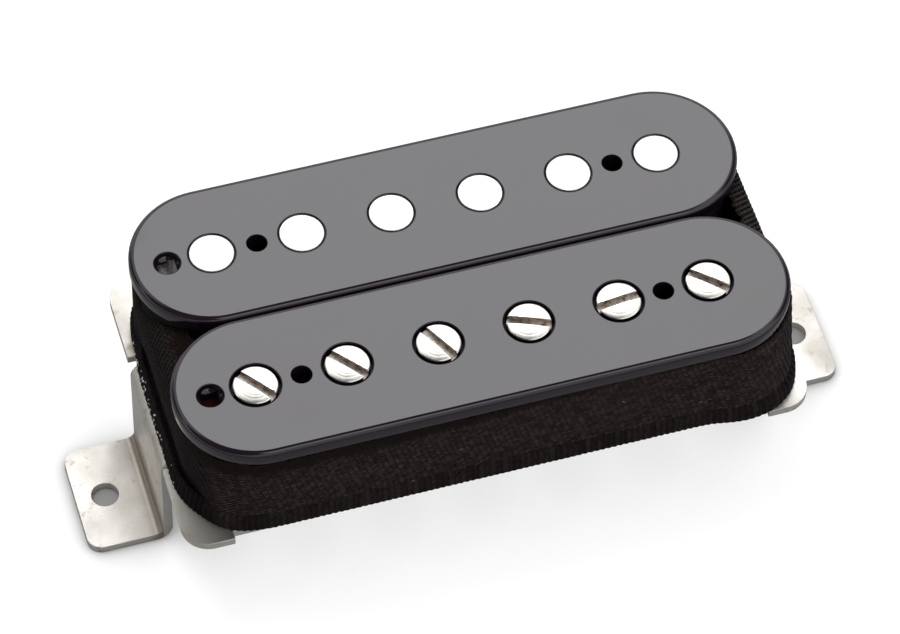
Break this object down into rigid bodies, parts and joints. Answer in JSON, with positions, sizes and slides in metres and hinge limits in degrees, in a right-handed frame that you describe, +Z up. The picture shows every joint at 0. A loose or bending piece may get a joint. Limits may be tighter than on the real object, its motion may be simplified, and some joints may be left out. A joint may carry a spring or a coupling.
{
  "type": "two-coil guitar pickup",
  "caption": "Open-bobbin humbucking guitar pickup: two taped coils on a bent metal baseplate with two drilled feet, a row of flush slugs and a row of height-adjustable pole screws.",
  "frame": {"origin": "centre of the level plane that the two feet rest on, midway between the two rows of poles and between the feet", "axes": "+X along the rows of poles, from the winding windows to the other end; +Y from the screw row to the slug row; +Z up to the strings"},
  "size_m": [0.0852, 0.0356, 0.0282],
  "materials": {
    "nickel_silver": "satin rolled sheet with fine scratches",
    "bobbin_plastic": "polished black moulding",
    "copper_wire": "enamelled copper winding",
    "cloth_tape": "ribbed black cloth tape",
    "magnet_alloy": "rough cast bar magnet with ground faces",
    "keeper_steel": "plain cold-rolled steel",
    "maple": "bare maple",
    "slug_steel": "nickel-plated, polished flat tops",
    "screw_steel": "nickel-plated, bright",
    "screw_brass": "plain brass"
  },
  "bodies": {
    "pickup": {"baseplate": "nickel_silver", "slug_bobbin": "bobbin_plastic", "screw_bobbin": "bobbin_plastic", "slug_coil": "copper_wire", "screw_coil": "copper_wire", "outer_tape": "cloth_tape", "base_tape": "cloth_tape", "bar_magnet": "magnet_alloy", "keeper_bar": "keeper_steel", "spacer": "maple", "slug_1": "slug_steel", "slug_2": "slug_steel", "slug_3": "slug_steel", "slug_4": "slug_steel", "slug_5": "slug_steel", "slug_6": "slug_steel", "base_screw_1": "screw_brass", "base_screw_2": "screw_brass", "base_screw_3": "screw_brass", "base_screw_4": "screw_brass"},
    "pole_screw_1_body": {"pole_screw_1": "screw_steel"},
    "pole_screw_2_body": {"pole_screw_2": "screw_steel"},
    "pole_screw_3_body": {"pole_screw_3": "screw_steel"},
    "pole_screw_4_body": {"pole_screw_4": "screw_steel"},
    "pole_screw_5_body": {"pole_screw_5": "screw_steel"},
    "pole_screw_6_body": {"pole_screw_6": "screw_steel"}
  },
  "joints": [
    {"name": "pole_screw_1_height", "type": "slide", "parent": "pickup", "child": "pole_screw_1_body", "axis": [0, 0, 1], "range_m": [-0.0005, 0.003]},
    {"name": "pole_screw_2_height", "type": "slide", "parent": "pickup", "child": "pole_screw_2_body", "axis": [0, 0, 1], "range_m": [-0.0005, 0.003]},
    {"name": "pole_screw_3_height", "type": "slide", "parent": "pickup", "child": "pole_screw_3_body", "axis": [0, 0, 1], "range_m": [-0.0005, 0.003]},
    {"name": "pole_screw_4_height", "type": "slide", "parent": "pickup", "child": "pole_screw_4_body", "axis": [0, 0, 1], "range_m": [-0.0005, 0.003]},
    {"name": "pole_screw_5_height", "type": "slide", "parent": "pickup", "child": "pole_screw_5_body", "axis": [0, 0, 1], "range_m": [-0.0005, 0.003]},
    {"name": "pole_screw_6_height", "type": "slide", "parent": "pickup", "child": "pole_screw_6_body", "axis": [0, 0, 1], "range_m": [-0.0005, 0.003]}
  ]
}
